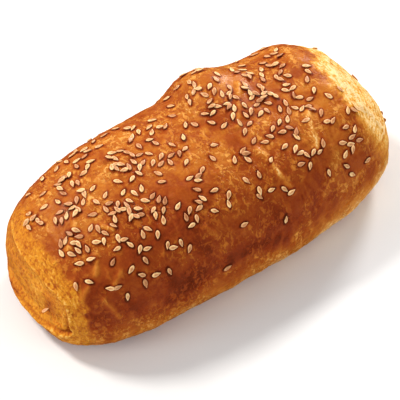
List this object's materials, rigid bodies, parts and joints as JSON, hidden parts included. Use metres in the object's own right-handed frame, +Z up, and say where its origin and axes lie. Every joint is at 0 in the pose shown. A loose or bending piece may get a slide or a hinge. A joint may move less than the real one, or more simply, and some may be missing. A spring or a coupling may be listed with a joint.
{
  "type": "cheese pastry",
  "caption": "Oblong filled cheese pastry with a glossy golden-brown crust, folded ends and sesame seeds on top.",
  "frame": {"origin": "on the tray it was baked on, below the middle of the bounding box", "axes": "+X along the pastry, from the near end to the far end; +Y towards its back; +Z up"},
  "size_m": [0.1424, 0.072, 0.05],
  "materials": {
    "crust": "satin",
    "sesame": "satin"
  },
  "bodies": {
    "root": {"pastry": "crust", "sesame_seed_01": "sesame", "sesame_seed_02": "sesame", "sesame_seed_03": "sesame", "sesame_seed_04": "sesame", "sesame_seed_05": "sesame", "sesame_seed_06": "sesame", "sesame_seed_07": "sesame", "sesame_seed_08": "sesame", "sesame_seed_09": "sesame", "sesame_seed_10": "sesame", "sesame_seed_11": "sesame", "sesame_seed_12": "sesame", "sesame_seed_13": "sesame", "sesame_seed_14": "sesame", "sesame_seed_15": "sesame", "sesame_seed_16": "sesame", "sesame_seed_17": "sesame", "sesame_seed_18": "sesame", "sesame_seed_19": "sesame", "sesame_seed_20": "sesame", "sesame_seed_21": "sesame", "sesame_seed_22": "sesame", "sesame_seed_23": "sesame", "sesame_seed_24": "sesame", "sesame_seed_25": "sesame", "sesame_seed_26": "sesame", "sesame_seed_27": "sesame", "sesame_seed_28": "sesame", "sesame_seed_29": "sesame", "sesame_seed_30": "sesame", "sesame_seed_31": "sesame", "sesame_seed_32": "sesame", "sesame_seed_33": "sesame", "sesame_seed_34": "sesame", "sesame_seed_35": "sesame", "sesame_seed_36": "sesame", "sesame_seed_37": "sesame", "sesame_seed_38": "sesame", "sesame_seed_39": "sesame", "sesame_seed_40": "sesame", "sesame_seed_41": "sesame", "sesame_seed_42": "sesame", "sesame_seed_43": "sesame", "sesame_seed_44": "sesame", "sesame_seed_45": "sesame", "sesame_seed_46": "sesame", "sesame_seed_47": "sesame", "sesame_seed_48": "sesame", "sesame_seed_49": "sesame", "sesame_seed_50": "sesame", "sesame_seed_51": "sesame", "sesame_seed_52": "sesame", "sesame_seed_53": "sesame", "sesame_seed_54": "sesame", "sesame_seed_55": "sesame", "sesame_seed_56": "sesame", "sesame_seed_57": "sesame", "sesame_seed_58": "sesame", "sesame_seed_59": "sesame"}
  },
  "joints": []
}
